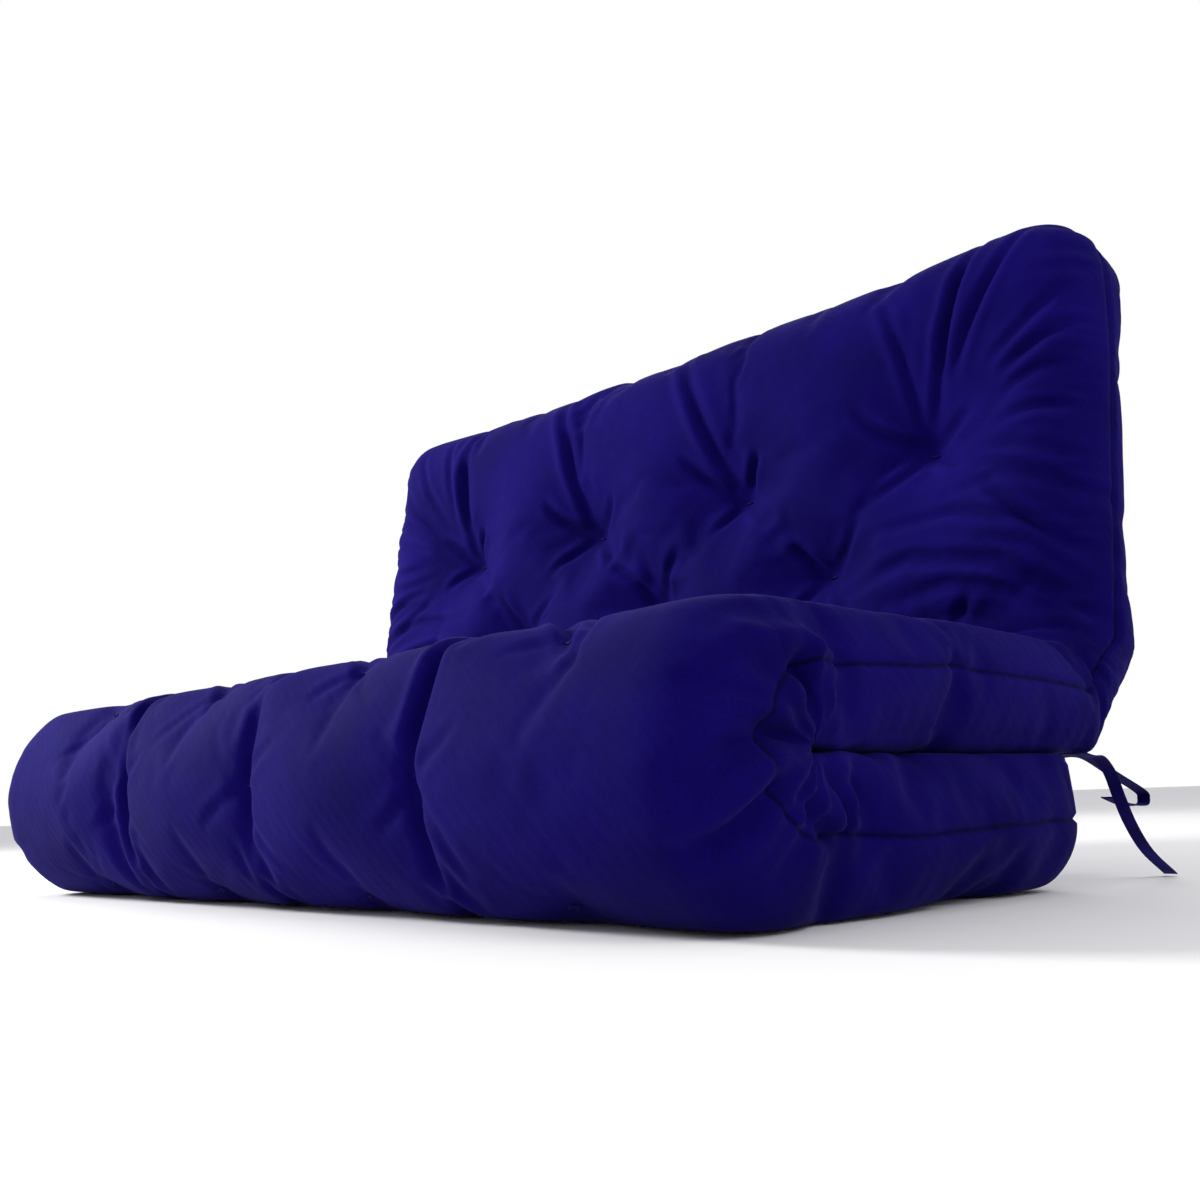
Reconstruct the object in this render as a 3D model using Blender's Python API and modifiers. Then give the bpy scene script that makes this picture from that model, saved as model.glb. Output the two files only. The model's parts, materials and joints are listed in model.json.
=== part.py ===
"""Tri-fold futon mattress in its sofa form: a base layer on the floor, a seat layer folded over it,
and a back turned up at the rear. Metres, +Z up, front of the sofa towards -Y."""

import math

import bmesh
import bpy
import numpy as np
from mathutils import Matrix, Vector

# Overall sizes
WIDTH = 1.35  # across the sofa, gusset to gusset
LAYER = 0.14  # thickness of one mattress layer
SEAT_LENGTH = 0.50  # front crease to rear crease
BASE_LENGTH = 0.49  # front crease to foot end, on the floor
BACK_LENGTH = 0.530  # rear crease to head end
BACK_LEAN = math.radians(8.5)  # backrest, back from upright

# Cover
CLOTH = 0.002  # cotton twill, and the gussets
GAP = 0.0003  # clearance between pieces that touch
SLIT = 0.0008  # half the gap between the base and the seat
EDGE_RADIUS = 0.072  # rounded border of the outer face, down to the gusset seam
CORNER_RADIUS = 0.082  # rounded corner of the head and foot ends, seen from above
EDGE_STEPS = 4
CORNER_STEPS = 4
LOWER_SEAM = 0.009  # inner-face seam of the gusset, above the inner face

# Filling. The upper wadding takes up what is left of the layer.
LOWER_WADDING = 0.0455  # soft wadding on the inner side of the core
FELT_CORE = 0.0430  # firm core

# Tufts: threads right through the mattress, in staggered rows
TUFT_SPACING = 0.30  # between tufts of one row
ROW_PITCH = 0.14  # between rows, along the outer face from the head end
FIRST_ROW = 0.275  # head end to the first row
TUFT_OFFSET = 0.02  # the rows are sewn a little to the right of the middle
THREAD = 0.004
THREAD_HOLE = 0.0065

# Fold sectors
FRONT_STEPS = 14
BACK_STEPS = 7
FOLD_END_GAP = 0.0006  # clearance between a fold and its neighbouring sections
CREASE_OPENING = 0.0040  # radius at which the cloth turns round a crease
CREASE_CORE = CREASE_OPENING + CLOTH + 2 * GAP  # radius at which the filling starts there

# Ties: cotton tapes sewn in at the rear corners of the slit
TIE_WIDTH = 0.015
TIE_THICK = 0.0016

BACK_REACH = (BACK_LENGTH - CLOTH - GAP) * math.sin(BACK_LEAN) + (LAYER - SLIT) * math.cos(BACK_LEAN)
FULL_DEPTH = LAYER + SEAT_LENGTH + BACK_REACH
FRONT_AXIS = Vector((0, LAYER - FULL_DEPTH / 2, LAYER))  # front crease, between base and seat
BACK_AXIS = Vector((0, FRONT_AXIS.y + SEAT_LENGTH, 2 * LAYER))  # rear crease, between seat and back
UP_BACK = Vector((0, math.sin(BACK_LEAN), math.cos(BACK_LEAN)))
BEHIND_BACK = Vector((0, math.cos(BACK_LEAN), -math.sin(BACK_LEAN)))

NAVY = (0.0100, 0.0060, 0.0980, 1)
TAPE_NAVY = (0.0130, 0.0085, 0.1100, 1)
THREAD_NAVY = (0.0070, 0.0045, 0.0700, 1)
WADDING_WHITE = (0.80, 0.78, 0.72, 1)
FELT_CREAM = (0.66, 0.61, 0.52, 1)


def clear_scene():
    for obj in list(bpy.data.objects):
        bpy.data.objects.remove(obj, do_unlink=True)
    for mesh in list(bpy.data.meshes):
        bpy.data.meshes.remove(mesh)


def new_collection(name, hidden=False):
    group = bpy.data.collections.new(name)
    group.hide_render = hidden
    bpy.context.scene.collection.children.link(group)
    return group


def new_material(name, colour, roughness):
    material = bpy.data.materials.new(name)
    material.use_nodes = True
    shader = material.node_tree.nodes["Principled BSDF"]
    shader.inputs["Base Color"].default_value = colour
    shader.inputs["Roughness"].default_value = roughness
    shader.inputs["Metallic"].default_value = 0.0
    return material


clear_scene()
FUTON = new_collection("futon_mattress")
CUTTERS = new_collection("cutters", hidden=True)
TWILL = new_material("cotton_twill", NAVY, 0.85)
TAPE = new_material("tie_tape", TAPE_NAVY, 0.8)
YARN = new_material("tuft_thread", THREAD_NAVY, 0.7)
WADDING = new_material("soft_wadding", WADDING_WHITE, 0.95)
FELT = new_material("felt_core", FELT_CREAM, 0.95)


def new_axis(name, place):
    """An empty on a joint axis. The pieces that turn there are its children."""
    empty = bpy.data.objects.new(name, None)
    empty.location = place
    empty.empty_display_size = 0.1
    FUTON.objects.link(empty)
    return empty


FRONT_FOLD = new_axis("front_fold_axis", FRONT_AXIS)
BACK_FOLD = new_axis("back_fold_axis", BACK_AXIS)


def base_place(point):
    """(across, along from the front crease, above the inner face) to the world, for the base."""
    return Vector((point.x, FRONT_AXIS.y + point.y, LAYER - point.z))


def seat_place(point):
    return Vector((point.x, FRONT_AXIS.y + point.y, LAYER + point.z))


def back_place(point):
    return Vector((point.x, 0, 0)) + BACK_AXIS + UP_BACK * point.y + BEHIND_BACK * (LAYER - point.z)


def world_mesh(shape, place):
    """Moves a shape from section coordinates to the world, with its faces still turned outwards."""
    for vert in shape.verts:
        vert.co = place(vert.co)
    across, along, above = (place(Vector(axis)) - place(Vector()) for axis in np.eye(3))
    if across.cross(along).dot(above) < 0:
        bmesh.ops.reverse_faces(shape, faces=shape.faces[:])


def add_object(name, shape, material, axis=None, group=FUTON):
    mesh = bpy.data.meshes.new(name)
    start = axis.location if axis else Vector((0, 0, 0))
    bmesh.ops.translate(shape, verts=shape.verts[:], vec=-start)
    shape.to_mesh(mesh)
    shape.free()
    obj = bpy.data.objects.new(name, mesh)
    if material:
        mesh.materials.append(material)
    obj.parent = axis
    group.objects.link(obj)
    return obj


def thicken(obj, inwards=True):
    modifier = obj.modifiers.new("cloth", "SOLIDIFY")
    modifier.thickness = CLOTH
    modifier.offset = -1 if inwards else 1
    modifier.use_even_offset = True
    return obj


def cut(obj, cutter):
    modifier = obj.modifiers.new("thread_holes", "BOOLEAN")
    modifier.operation = "DIFFERENCE"
    modifier.solver = "EXACT"
    modifier.object = cutter
    return obj


def face_outwards(shape):
    shape.normal_update()
    bmesh.ops.recalc_face_normals(shape, faces=shape.faces[:])
    if shape.calc_volume(signed=True) < 0:
        bmesh.ops.reverse_faces(shape, faces=shape.faces[:])


def slice_shape(shape, point, normal, fill=True):
    """Cuts away what lies beyond the plane, on the side its normal points to."""
    geometry = shape.verts[:] + shape.edges[:] + shape.faces[:]
    result = bmesh.ops.bisect_plane(
        shape, geom=geometry, dist=1e-7, plane_co=point, plane_no=normal, clear_outer=True
    )
    if fill:
        edges = [item for item in result["geom_cut"] if isinstance(item, bmesh.types.BMEdge)]
        bmesh.ops.holes_fill(shape, edges=edges, sides=0)
        face_outwards(shape)


def block(length, inset, low, high, round_end):
    """One section as a solid: flat inner face, outer face with a rounded border, cut square at a crease.
    inset is how far it lies inside the section's own outline."""
    half = WIDTH / 2 - inset
    reach = 0.2
    far = length - inset if round_end else length + reach
    shape = bmesh.new()
    bmesh.ops.create_cube(shape, size=1)
    for vert in shape.verts:
        vert.co.x *= 2 * half
        vert.co.y = far if vert.co.y > 0 else -reach
        vert.co.z = LAYER - inset if vert.co.z > 0 else 0
    if round_end:
        posts = [e for e in shape.edges if all(abs(v.co.y - far) < 1e-6 for v in e.verts)]
        posts = [e for e in posts if abs(e.verts[0].co.z - e.verts[1].co.z) > 1e-6]
        bmesh.ops.bevel(
            shape, geom=posts, offset=CORNER_RADIUS - inset, segments=CORNER_STEPS, profile=0.5, affect="EDGES"
        )
    top = LAYER - inset
    border = []
    for edge in shape.edges:
        on_top = all(abs(v.co.z - top) < 1e-6 for v in edge.verts)
        at_crease = all(v.co.y < -reach + 1e-6 for v in edge.verts)
        beyond = not round_end and all(v.co.y > far - 1e-6 for v in edge.verts)
        if on_top and not at_crease and not beyond:
            border.append(edge)
    bmesh.ops.bevel(
        shape, geom=border, offset=EDGE_RADIUS - inset, segments=EDGE_STEPS, profile=0.5, affect="EDGES"
    )
    slice_shape(shape, (0, FOLD_END_GAP, 0), (0, -1, 0))
    if not round_end:
        slice_shape(shape, (0, length - FOLD_END_GAP, 0), (0, 1, 0))
    slice_shape(shape, (0, 0, low), (0, 0, -1))
    if high < top:
        slice_shape(shape, (0, 0, high), (0, 0, 1))
    return shape


def drop_faces(shape, unwanted):
    bmesh.ops.delete(shape, geom=[face for face in shape.faces if unwanted(face)], context="FACES")


SEAM = LAYER - EDGE_RADIUS  # height of the outer seam of the gusset, above the inner face
INNER_LOW = SLIT + CLOTH + GAP
INNER_HIGH = LAYER - CLOTH - GAP
CORE_LOW = INNER_LOW + LOWER_WADDING + GAP
CORE_HIGH = CORE_LOW + FELT_CORE + GAP


def outer_panel(name, length, round_end, place, axis):
    """The outer face's cloth, with its border turned down to the gusset seam."""
    shape = block(length, 0, SLIT, LAYER, round_end)
    slice_shape(shape, (0, 0, SEAM + GAP), (0, 0, -1), fill=False)

    def is_cut(face):
        centre = face.calc_center_median()
        at_start = abs(face.normal.y) > 0.9 and centre.y < FOLD_END_GAP + 1e-4
        at_end = not round_end and abs(face.normal.y) > 0.9 and centre.y > length - FOLD_END_GAP - 1e-4
        return at_start or at_end

    drop_faces(shape, is_cut)
    world_mesh(shape, place)
    return thicken(add_object(name, shape, TWILL, axis))


def inner_panel(name, length, round_end, place, axis):
    """The inner face's cloth: a flat sheet whose edges tuck in beside the gusset."""
    shape = block(length, CLOTH + GAP, SLIT, SLIT + CLOTH, round_end)
    world_mesh(shape, place)
    return add_object(name, shape, TWILL, axis)


def gusset(name, length, round_end, place, axis, side):
    """The boxing strip between the two faces: side is 1 right, -1 left and 0 for the closed end."""
    shape = block(length, 0, LOWER_SEAM, LAYER, round_end)
    slice_shape(shape, (0, 0, SEAM - GAP), (0, 0, 1), fill=False)
    corner = length - CORNER_RADIUS
    if side and round_end:
        slice_shape(shape, (0, corner - 4 * GAP, 0), (0, 1, 0), fill=False)
    if not side:
        slice_shape(shape, (0, corner, 0), (0, -1, 0), fill=False)

    def unwanted(face):
        if abs(face.normal.z) > 0.9:
            return True
        return side != 0 and face.normal.x * side < 0.9

    drop_faces(shape, unwanted)
    world_mesh(shape, place)
    return thicken(add_object(name, shape, TWILL, axis))


def layers(prefix, names, length, round_end, place, axis):
    """Lower wadding, felt core and upper wadding, from the inner face out."""
    ranges = ((INNER_LOW, CORE_LOW - GAP), (CORE_LOW, CORE_HIGH - GAP), (CORE_HIGH, INNER_HIGH))
    made = []
    for name, material, (low, high) in zip(names, (WADDING, FELT, WADDING), ranges):
        shape = block(length, CLOTH + GAP, low, high, round_end)
        world_mesh(shape, place)
        made.append(add_object(prefix + name, shape, material, axis))
    return made


def cross_section(inset, low, high):
    """The mattress's section across, as one flat face in X and Z, clipped to a range of heights."""
    half = WIDTH / 2 - inset
    radius = EDGE_RADIUS - inset
    top = LAYER - inset
    outline = [(half, 0), (half, top - radius)]
    for step in range(1, EDGE_STEPS + 1):
        turn = math.pi / 2 * step / EDGE_STEPS
        outline.append((half - radius * (1 - math.cos(turn)), top - radius + radius * math.sin(turn)))
    outline += [(-x, z) for x, z in reversed(outline)]
    shape = bmesh.new()
    shape.faces.new([shape.verts.new((x, 0, z)) for x, z in outline])
    if high < top:
        slice_shape(shape, (0, 0, high), (0, 0, 1), fill=False)
    slice_shape(shape, (0, 0, low), (0, 0, -1), fill=False)
    return shape


def spin(shape, start, axis_point, angle, steps):
    """Turns a flat section about a crease. Start and end are a hair inside the neighbouring sections."""
    clearance = FOLD_END_GAP / LAYER
    for vert in shape.verts:
        vert.co = start(vert.co)
    turn = Matrix.Rotation(clearance, 4, "X")
    bmesh.ops.rotate(shape, cent=axis_point, matrix=turn, verts=shape.verts[:])
    bmesh.ops.spin(
        shape,
        geom=shape.verts[:] + shape.edges[:] + shape.faces[:],
        cent=axis_point,
        axis=(-1, 0, 0),
        angle=-(angle - 2 * clearance),
        steps=steps,
    )
    face_outwards(shape)


def radius_of(vert, axis_point):
    return math.hypot(vert.co.y - axis_point.y, vert.co.z - axis_point.z)


def fold(prefix, names, axis_point, angle, steps, outside_is_outer):
    """A fold of the mattress: three layers of filling, the stretched cloth and two gussets."""
    ranges = ((INNER_LOW, CORE_LOW - GAP), (CORE_LOW, CORE_HIGH - GAP), (CORE_HIGH, INNER_HIGH))

    def start(point):
        return Vector((point.x, axis_point.y, LAYER + point.z))

    for name, material, (low, high) in zip(names, (WADDING, FELT, WADDING), ranges):
        if not outside_is_outer:
            high = min(high, LAYER - CREASE_CORE)
        shape = cross_section(CLOTH + GAP, max(low, CREASE_CORE) if outside_is_outer else low, high)
        spin(shape, start, axis_point, angle, steps)
        add_object(prefix + name, shape, material)

    def near(vert, level):
        wanted = level if outside_is_outer else LAYER - level
        return abs(radius_of(vert, axis_point) - wanted) < 1e-5

    def is_end(face):
        return abs(face.normal.x) < 0.5 and len(face.verts) > 4

    top = LAYER if outside_is_outer else LAYER - CREASE_OPENING
    shape = cross_section(0, SEAM + GAP, top)
    spin(shape, start, axis_point, angle, steps)
    drop_faces(shape, lambda f: is_end(f) or all(near(v, SEAM + GAP) for v in f.verts))
    thicken(add_object(prefix + "outer_panel", shape, TWILL))
    bottom = CREASE_OPENING if outside_is_outer else SLIT
    shape = cross_section(CLOTH + GAP, bottom, bottom + CLOTH)
    spin(shape, start, axis_point, angle, steps)
    add_object(prefix + "inner_panel", shape, TWILL)
    for word, side in (("right", 1), ("left", -1)):
        outline = [(WIDTH / 2 * side, level) for level in (LOWER_SEAM, SEAM - GAP)]
        shape = bmesh.new()
        ends = [shape.verts.new(start(Vector((x, 0, z)))) for x, z in outline]
        ends += [shape.verts.new(start(Vector((x - side * CLOTH, 0, z)))) for x, z in reversed(outline)]
        shape.faces.new(ends)
        spin(shape, lambda point: point, axis_point, angle, steps)
        add_object(prefix + "gusset_" + word, shape, TWILL)


def boxes(centres, size):
    """Equal boxes in one mesh, at centres in section coordinates."""
    shape = bmesh.new()
    for centre in centres:
        bmesh.ops.create_cube(shape, size=1, matrix=Matrix.Translation(centre) @ Matrix.Diagonal((*size, 1)))
    return shape


def row_positions(row):
    count = 4 if row % 2 == 0 else 3
    return [(index - (count - 1) / 2) * TUFT_SPACING + TUFT_OFFSET for index in range(count)]


THREAD_LOW = SLIT + 0.0006
THREAD_HIGH = LAYER - 0.0004
RUN_TOP = CORE_LOW - 0.0010  # the thread that joins a row runs under the core


def row_shape(row, low, place, leg_size, run_size):
    """The legs and the running thread of one row, as two shapes in the world."""
    positions = row_positions(row)
    margin = (leg_size - THREAD) * 4
    middle = (low + THREAD_HIGH) / 2
    legs = boxes(
        [Vector((x, 0, middle)) for x in positions], (leg_size, leg_size, THREAD_HIGH - low + margin)
    )
    span = positions[-1] - positions[0] + run_size
    run = boxes([Vector((TUFT_OFFSET, 0, RUN_TOP - THREAD / 2))], (span, run_size, run_size))
    for shape in (legs, run):
        world_mesh(shape, place)
    return legs, run


def section_row(along, place):
    def placed(point):
        return place(Vector((point.x, point.y + along, point.z)))

    return placed


def fold_row(turn):
    """A row in the front fold, at an angle from the top of the seat round to the floor."""
    outward = Vector((0, -math.sin(turn), math.cos(turn)))
    along = Vector((0, -math.cos(turn), -math.sin(turn)))

    def placed(point):
        return Vector((point.x, 0, 0)) + FRONT_AXIS + outward * point.z + along * point.y

    return placed


def tuft_row(name, row, place, axis, low=THREAD_LOW):
    """One row of tufts, and the cutters that clear its way through the layers."""
    legs, run = row_shape(row, low, place, THREAD, THREAD)
    threads = add_object(name, legs, YARN, axis)
    runner = add_object(name + "_runner", run, None, axis, CUTTERS)
    joined = threads.modifiers.new("running_thread", "BOOLEAN")
    joined.operation = "UNION"
    joined.solver = "EXACT"
    joined.object = runner
    holes, groove = row_shape(row, low, place, THREAD_HOLE, THREAD_HOLE - 0.001)
    return holes, groove


def joined_cutter(name, shapes):
    """Several separate cutter shapes as one mesh."""
    mesh = bpy.data.meshes.new(name)
    whole = bmesh.new()
    for shape in shapes:
        shape.to_mesh(mesh)
        shape.free()
        whole.from_mesh(mesh)
    whole.to_mesh(mesh)
    whole.free()
    obj = bpy.data.objects.new(name, mesh)
    obj.display_type = "WIRE"
    CUTTERS.objects.link(obj)
    return obj


def ribbon(name, points, across, axis=None):
    """A flat tape along a path, its width level."""
    shape = bmesh.new()
    path = [shape.verts.new(Vector(point) + Vector((across, 0, 0)) * -0.5) for point in points]
    edges = [shape.edges.new(pair) for pair in zip(path, path[1:])]
    made = bmesh.ops.extrude_edge_only(shape, edges=edges)["geom"]
    moved = [item for item in made if isinstance(item, bmesh.types.BMVert)]
    bmesh.ops.translate(shape, verts=moved, vec=(across, 0, 0))
    obj = add_object(name, shape, TAPE, axis)
    modifier = obj.modifiers.new("tape", "SOLIDIFY")
    modifier.thickness = TIE_THICK
    modifier.offset = 0
    return obj


# Sections, cover first
FILLINGS = ("lower_wadding", "felt_core", "upper_wadding")
base = [outer_panel("base_outer_panel", BASE_LENGTH, True, base_place, FRONT_FOLD)]
base.append(inner_panel("base_inner_panel", BASE_LENGTH, True, base_place, FRONT_FOLD))
base += layers("base_", FILLINGS, BASE_LENGTH, True, base_place, FRONT_FOLD)
gusset("base_gusset_right", BASE_LENGTH, True, base_place, FRONT_FOLD, 1)
gusset("base_gusset_left", BASE_LENGTH, True, base_place, FRONT_FOLD, -1)
gusset("foot_end_gusset", BASE_LENGTH, True, base_place, FRONT_FOLD, 0)

seat = [outer_panel("seat_outer_panel", SEAT_LENGTH, False, seat_place, None)]
seat.append(inner_panel("seat_inner_panel", SEAT_LENGTH, False, seat_place, None))
seat += layers("seat_", FILLINGS, SEAT_LENGTH, False, seat_place, None)
gusset("seat_gusset_right", SEAT_LENGTH, False, seat_place, None, 1)
gusset("seat_gusset_left", SEAT_LENGTH, False, seat_place, None, -1)

back = [outer_panel("back_outer_panel", BACK_LENGTH, True, back_place, BACK_FOLD)]
back.append(inner_panel("back_inner_panel", BACK_LENGTH, True, back_place, BACK_FOLD))
back += layers("back_", FILLINGS, BACK_LENGTH, True, back_place, BACK_FOLD)
gusset("back_gusset_right", BACK_LENGTH, True, back_place, BACK_FOLD, 1)
gusset("back_gusset_left", BACK_LENGTH, True, back_place, BACK_FOLD, -1)
gusset("head_end_gusset", BACK_LENGTH, True, back_place, BACK_FOLD, 0)

# Folds
fold("front_fold_", FILLINGS, FRONT_AXIS, math.pi, FRONT_STEPS, True)
fold("back_fold_", FILLINGS, BACK_AXIS, math.pi / 2 - BACK_LEAN, BACK_STEPS, False)

# Tuft rows, counted from the head end along the outer face
FOLD_ARC = math.pi * LAYER
ROW_MARGIN = 0.02  # a row this close to a crease moves clear of it
FOLD_LEG_START = 0.030  # a tuft in the fold starts clear of the crease
cutters = {"base": [], "seat": [], "back": [], "front_fold": []}
for row in range(11):
    along = FIRST_ROW + ROW_PITCH * row
    word = f"tuft_row_{row + 1:02d}"
    if along < BACK_LENGTH:
        distance = min(BACK_LENGTH - along, BACK_LENGTH - ROW_MARGIN)
        distance = max(distance, ROW_MARGIN)
        where, axis, place, low = "back", BACK_FOLD, section_row(distance, back_place), THREAD_LOW
    elif along < BACK_LENGTH + SEAT_LENGTH:
        distance = SEAT_LENGTH - (along - BACK_LENGTH)
        distance = min(max(distance, ROW_MARGIN), SEAT_LENGTH - ROW_MARGIN)
        where, axis, place, low = "seat", None, section_row(distance, seat_place), THREAD_LOW
    elif along < BACK_LENGTH + SEAT_LENGTH + FOLD_ARC:
        turn = (along - BACK_LENGTH - SEAT_LENGTH) / LAYER
        turn = min(max(turn, 0.2), math.pi - 0.2)
        where, axis, place, low = "front_fold", None, fold_row(turn), FOLD_LEG_START
    else:
        distance = max(along - BACK_LENGTH - SEAT_LENGTH - FOLD_ARC, ROW_MARGIN)
        where, axis, place, low = "base", FRONT_FOLD, section_row(distance, base_place), THREAD_LOW
    cutters[where].append(tuft_row(f"{where}_{word}", row, place, axis, low))

for where, pairs in cutters.items():
    legs = joined_cutter(where + "_thread_holes", [pair[0] for pair in pairs])
    grooves = joined_cutter(where + "_thread_grooves", [pair[1] for pair in pairs])
    outer = where + "_outer_panel"
    for name in (outer, where + "_upper_wadding", where + "_felt_core", where + "_lower_wadding"):
        cut(bpy.data.objects[name], legs)
    cut(bpy.data.objects[where + "_lower_wadding"], grooves)
    if where != "front_fold":
        cut(bpy.data.objects[where + "_inner_panel"], legs)

# Ties, at the rear end of the slit on both sides. Each point is a distance behind the foot end and a
# height, as a share of the slit's height above the floor.
TIE_START_Y = FRONT_AXIS.y + BASE_LENGTH + 0.010
TIE_ACROSS = WIDTH / 2 - TIE_WIDTH / 2 - 0.002
TAIL = [(0.0, 0.975), (0.026, 0.965), (0.050, 0.85), (0.068, 0.66), (0.092, 0.44), (0.130, 0.22), (0.190, 0.02)]
LOOP = [
    (0.004, 0.985), (0.040, 0.965), (0.100, 0.84), (0.168, 0.70), (0.177, 0.64), (0.168, 0.585),
    (0.120, 0.60), (0.078, 0.66),
]
for word, side in (("right", 1), ("left", -1)):
    for name, path in (("tail", TAIL), ("loop", LOOP)):
        shift = 0.0 if name == "tail" else TIE_WIDTH + 0.002
        x = side * (TIE_ACROSS - shift)
        points = [(x, TIE_START_Y + y, LAYER * share) for y, share in path]
        ribbon(f"tie_{word}_{name}", points, TIE_WIDTH)

print("pieces", len([obj for obj in FUTON.objects if obj.type == "MESH"]), "height", np.round(BACK_AXIS.z, 3))
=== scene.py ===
import json
from math import cos, pi, radians, sin
from types import SimpleNamespace

import bmesh
import bpy
import numpy as np
from mathutils import Matrix, Vector


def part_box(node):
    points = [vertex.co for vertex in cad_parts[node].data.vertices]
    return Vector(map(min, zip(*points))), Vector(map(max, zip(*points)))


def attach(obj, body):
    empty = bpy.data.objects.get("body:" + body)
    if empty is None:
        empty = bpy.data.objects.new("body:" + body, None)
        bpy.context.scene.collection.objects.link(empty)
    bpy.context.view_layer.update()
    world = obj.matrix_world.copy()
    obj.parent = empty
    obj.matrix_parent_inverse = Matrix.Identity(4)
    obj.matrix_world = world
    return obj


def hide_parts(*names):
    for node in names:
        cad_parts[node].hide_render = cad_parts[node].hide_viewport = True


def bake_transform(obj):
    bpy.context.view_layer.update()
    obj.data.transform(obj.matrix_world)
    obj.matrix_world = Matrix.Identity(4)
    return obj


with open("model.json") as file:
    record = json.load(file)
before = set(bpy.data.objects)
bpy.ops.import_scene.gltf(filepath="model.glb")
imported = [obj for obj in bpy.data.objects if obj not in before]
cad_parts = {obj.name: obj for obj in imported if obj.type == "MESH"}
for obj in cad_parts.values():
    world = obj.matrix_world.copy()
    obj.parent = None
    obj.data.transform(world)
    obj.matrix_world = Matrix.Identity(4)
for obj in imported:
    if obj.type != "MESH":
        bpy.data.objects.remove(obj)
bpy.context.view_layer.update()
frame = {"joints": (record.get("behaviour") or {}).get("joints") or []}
scene = bpy.context.scene

# Where the mattress lies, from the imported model
joints = {joint["name"]: joint for joint in frame["joints"]}
frontAxis = np.array(joints["front_fold"]["pos_m"], float)
backAxis = np.array(joints["back_fold"]["pos_m"], float)
mattress = dict(
    halfWidth=float(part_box("seat_gusset_right")[1][0]),
    layer=float(frontAxis[2]),
    seat=float(backAxis[1] - frontAxis[1]),
    base=float(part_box("foot_end_gusset")[1][1] - frontAxis[1]),
    back=0.53,    # crease to head end
    lean=radians(8.5),
    edgeRadius=0.072,    # rounded border of the outer face
    cornerRadius=0.082,    # head and foot corners, seen from above
    lowerSeam=0.009,    # rounding at the seam of the inner face
    crease=0.004,    # radius the cloth turns on inside a fold
)
halfWidth, layer = mattress["halfWidth"], mattress["layer"]
seatLength, baseLength, backLength = mattress["seat"], mattress["base"], mattress["back"]
edgeRadius, cornerRadius = mattress["edgeRadius"], mattress["cornerRadius"]
borderArc = edgeRadius * pi / 2
seamHeight = layer - edgeRadius
upBack = np.array([0, sin(mattress["lean"]), cos(mattress["lean"])])
behindBack = np.array([0, cos(mattress["lean"]), -sin(mattress["lean"])])
backTurn = pi / 2 - mattress["lean"]
print("mattress", {key: round(value, 4) for key, value in mattress.items()})

# Camera: place in metres, angles in degrees, lens in millimetres on a 36 mm film
view = dict(place=(1.2376, -1.0875, 0.1038), yaw=44.953, pitch=9.381, roll=-1.925, lens=36.994)


def newObject(name, data):
    obj = bpy.data.objects.new(name, data)
    scene.collection.objects.link(obj)
    return obj


def addCamera():
    yaw, pitch, roll = (radians(view[key]) for key in ("yaw", "pitch", "roll"))
    level = cos(pitch)
    forward = Vector((-sin(yaw) * level, cos(yaw) * level, sin(pitch)))
    right = Vector((cos(yaw), sin(yaw), 0))
    up = right.cross(forward)
    tiltedRight = right * cos(roll) + up * sin(roll)
    tiltedUp = up * cos(roll) - right * sin(roll)
    camera = newObject("camera", bpy.data.cameras.new("camera"))
    camera.data.lens, camera.data.sensor_width = view["lens"], 36
    camera.data.clip_start = 0.01
    turn = Matrix((tiltedRight, tiltedUp, -forward)).transposed()
    camera.matrix_world = Matrix.Translation(view["place"]) @ turn.to_4x4()
    scene.camera = camera


addCamera()

# Cover grid: one closed cloth, in plan lines across and along
grid = dict(cell=0.0106, gussetRows=5, endHoldEvery=9)
outerCloth, innerCloth, gussetRight, gussetLeft, headGusset, footGusset = range(6)
clothCount = 6
backStretch, backFold, seatStretch, frontFold, baseStretch = range(5)
farOff = 9.0    # metres, farther than any part


# Distance in from the outline after a walk from the seam, on the outer and the inner face
def outerInset(walk):
    angle = np.clip(walk / edgeRadius, 0, pi / 2)
    straight = walk - borderArc + edgeRadius
    return np.where(walk < borderArc, edgeRadius * (1 - np.cos(angle)), straight)


def innerInset(walk):
    return np.where(walk < borderArc, walk / borderArc * edgeRadius, walk - borderArc + edgeRadius)


def acrossLines(cell):
    half = borderArc + halfWidth - edgeRadius
    walk = np.linspace(0, half, int(round(half / cell)) + 1)
    lines = [halfWidth - inset(walk) for inset in (outerInset, innerInset)]
    return [np.concatenate([line, -line[-2::-1]]) for line in lines]


# Stretch, place on each face and distance to the end, of each line from head to foot
def alongLines(cell):
    rows = []

    def addRows(stretch, start, end, size, even=False):
        count = int(round(size / cell))
        count += count % 2 if even else 0
        for place in np.linspace(start, end, count + 1)[:-1]:
            rows.append((stretch, place, place, farOff, farOff))

    def addEndRows(stretch, length, walks):
        for walk in walks:
            outer, inner = float(outerInset(walk)), float(innerInset(walk))
            rows.append((stretch, length - outer, length - inner, outer, inner))

    reach = borderArc + backLength - edgeRadius
    addEndRows(backStretch, backLength, np.linspace(0, reach, int(round(reach / cell)) + 1)[:-1])
    addRows(backFold, backTurn, 0, backTurn * layer)
    addRows(seatStretch, seatLength, 0, seatLength, even=True)
    addRows(frontFold, 0, pi, pi * layer)
    reach = borderArc + baseLength - edgeRadius
    addEndRows(baseStretch, baseLength, np.linspace(reach, 0, int(round(reach / cell)) + 1))
    return rows


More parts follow.
